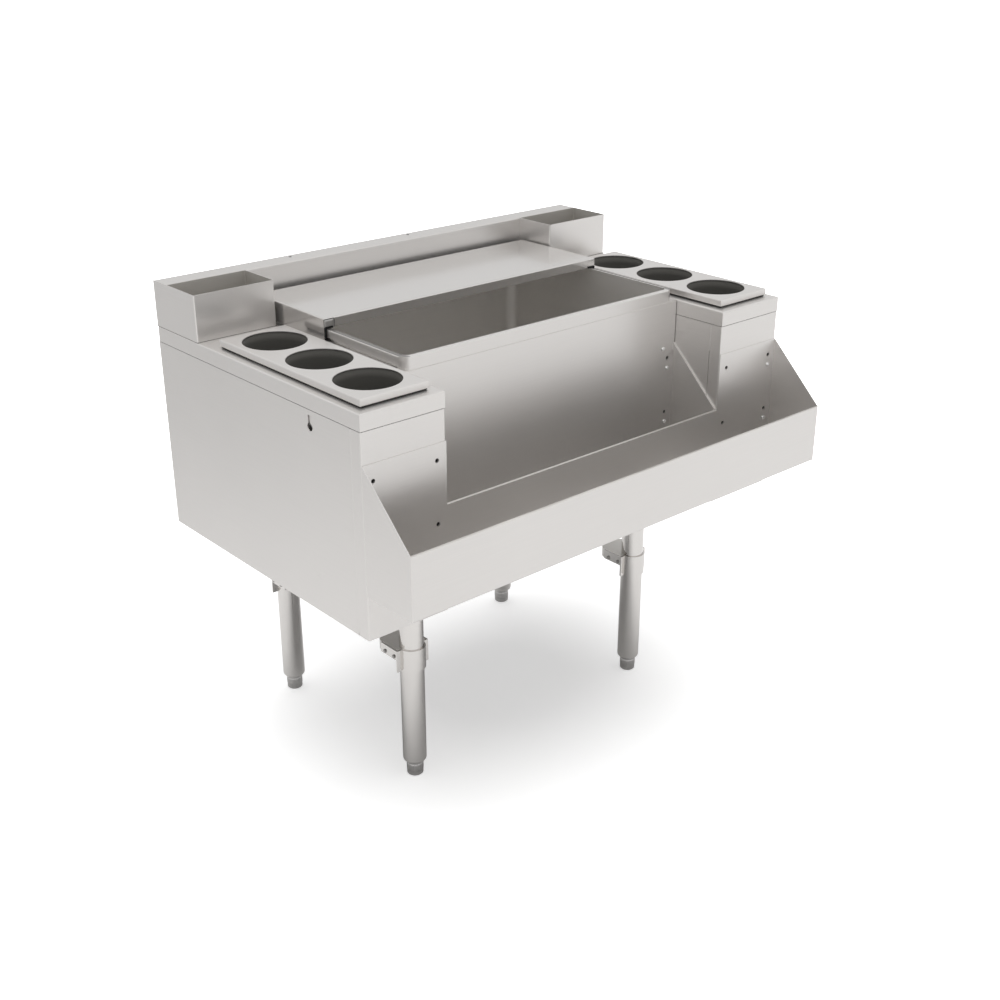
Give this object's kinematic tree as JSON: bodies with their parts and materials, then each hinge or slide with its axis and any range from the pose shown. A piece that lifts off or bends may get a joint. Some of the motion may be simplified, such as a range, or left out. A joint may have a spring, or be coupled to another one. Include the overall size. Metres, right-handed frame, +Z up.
{
  "type": "underbar ice bin with bottle cabinets and speed rail",
  "caption": "Stainless underbar ice bin on legs, with a sliding cover, a bottle cabinet and a riser box on each side and a two-tier speed rail in front.",
  "frame": {"origin": "floor level, at the centre of the whole unit's box", "axes": "+X to the right as seen from the front, +Y from the speed rail to the back, +Z up"},
  "size_m": [0.9144, 0.67, 0.829],
  "materials": {
    "satin_sheet": "satin brushed stainless sheet",
    "liner_sheet": "satin stainless liner",
    "leg_tube": "satin tube",
    "foot_metal": "turned metal",
    "zinc_plate": "dull plated",
    "screw_steel": "bright",
    "black_plastic": "matt black plastic",
    "well_plastic": "dark moulded plastic",
    "foam": "rigid foam",
    "gasket_rubber": "rubber",
    "brass": "brass",
    "drain_steel": "satin"
  },
  "bodies": {
    "unit": {"left_side_panel": "satin_sheet", "right_side_panel": "satin_sheet", "left_inner_panel": "satin_sheet", "right_inner_panel": "satin_sheet", "left_front_panel": "satin_sheet", "right_front_panel": "satin_sheet", "left_floor_panel": "satin_sheet", "right_floor_panel": "satin_sheet", "left_deck": "satin_sheet", "right_deck": "satin_sheet", "left_bottle_well": "well_plastic", "right_bottle_well": "well_plastic", "left_riser": "satin_sheet", "right_riser": "satin_sheet", "backsplash": "satin_sheet", "back_panel": "satin_sheet", "bin_front_panel": "satin_sheet", "bin_base_panel": "satin_sheet", "bin_deck": "satin_sheet", "bin_rim": "liner_sheet", "bin_liner": "liner_sheet", "liner_left_end": "liner_sheet", "liner_right_end": "liner_sheet", "bin_insulation": "foam", "drain_body": "drain_steel", "drain_gasket": "gasket_rubber", "drain_nut": "brass", "drain_tailpiece": "drain_steel", "drain_strainer": "drain_steel", "strainer_screw": "drain_steel", "outer_rail": "satin_sheet", "outer_rail_left_end": "satin_sheet", "outer_rail_right_end": "satin_sheet", "inner_rail": "satin_sheet", "inner_rail_left_end": "satin_sheet", "inner_rail_right_end": "satin_sheet", "rail_screws": "screw_steel", "front_left_leg": "leg_tube", "front_right_leg": "leg_tube", "rear_left_leg": "leg_tube", "rear_right_leg": "leg_tube", "leg_sockets": "zinc_plate", "socket_set_screws": "zinc_plate", "foot_inserts": "foot_metal", "front_brackets": "satin_sheet", "rear_brackets": "satin_sheet", "leg_clamps": "satin_sheet", "bracket_screws": "screw_steel"},
    "cover": {"sliding_cover": "satin_sheet", "left_glide": "black_plastic", "right_glide": "black_plastic"},
    "left_insert": {"left_bottle_insert": "satin_sheet"},
    "right_insert": {"right_bottle_insert": "satin_sheet"},
    "front_left_foot_body": {"front_left_foot": "foot_metal"},
    "front_right_foot_body": {"front_right_foot": "foot_metal"},
    "rear_left_foot_body": {"rear_left_foot": "foot_metal"},
    "rear_right_foot_body": {"rear_right_foot": "foot_metal"}
  },
  "joints": [
    {"name": "cover_slide", "type": "slide", "parent": "unit", "child": "cover", "axis": [0, -1, 0], "range_m": [-0.0145, 0.18]},
    {"name": "left_insert_lift", "type": "slide", "parent": "unit", "child": "left_insert", "axis": [0, 0, 1], "range_m": [0, 0.1]},
    {"name": "right_insert_lift", "type": "slide", "parent": "unit", "child": "right_insert", "axis": [0, 0, 1], "range_m": [0, 0.1]},
    {"name": "front_left_foot_screw", "type": "slide", "parent": "unit", "child": "front_left_foot_body", "axis": [0, 0, -1], "range_m": [0, 0.025]},
    {"name": "front_right_foot_screw", "type": "slide", "parent": "unit", "child": "front_right_foot_body", "axis": [0, 0, -1], "range_m": [0, 0.025]},
    {"name": "rear_left_foot_screw", "type": "slide", "parent": "unit", "child": "rear_left_foot_body", "axis": [0, 0, -1], "range_m": [0, 0.025]},
    {"name": "rear_right_foot_screw", "type": "slide", "parent": "unit", "child": "rear_right_foot_body", "axis": [0, 0, -1], "range_m": [0, 0.025]}
  ]
}
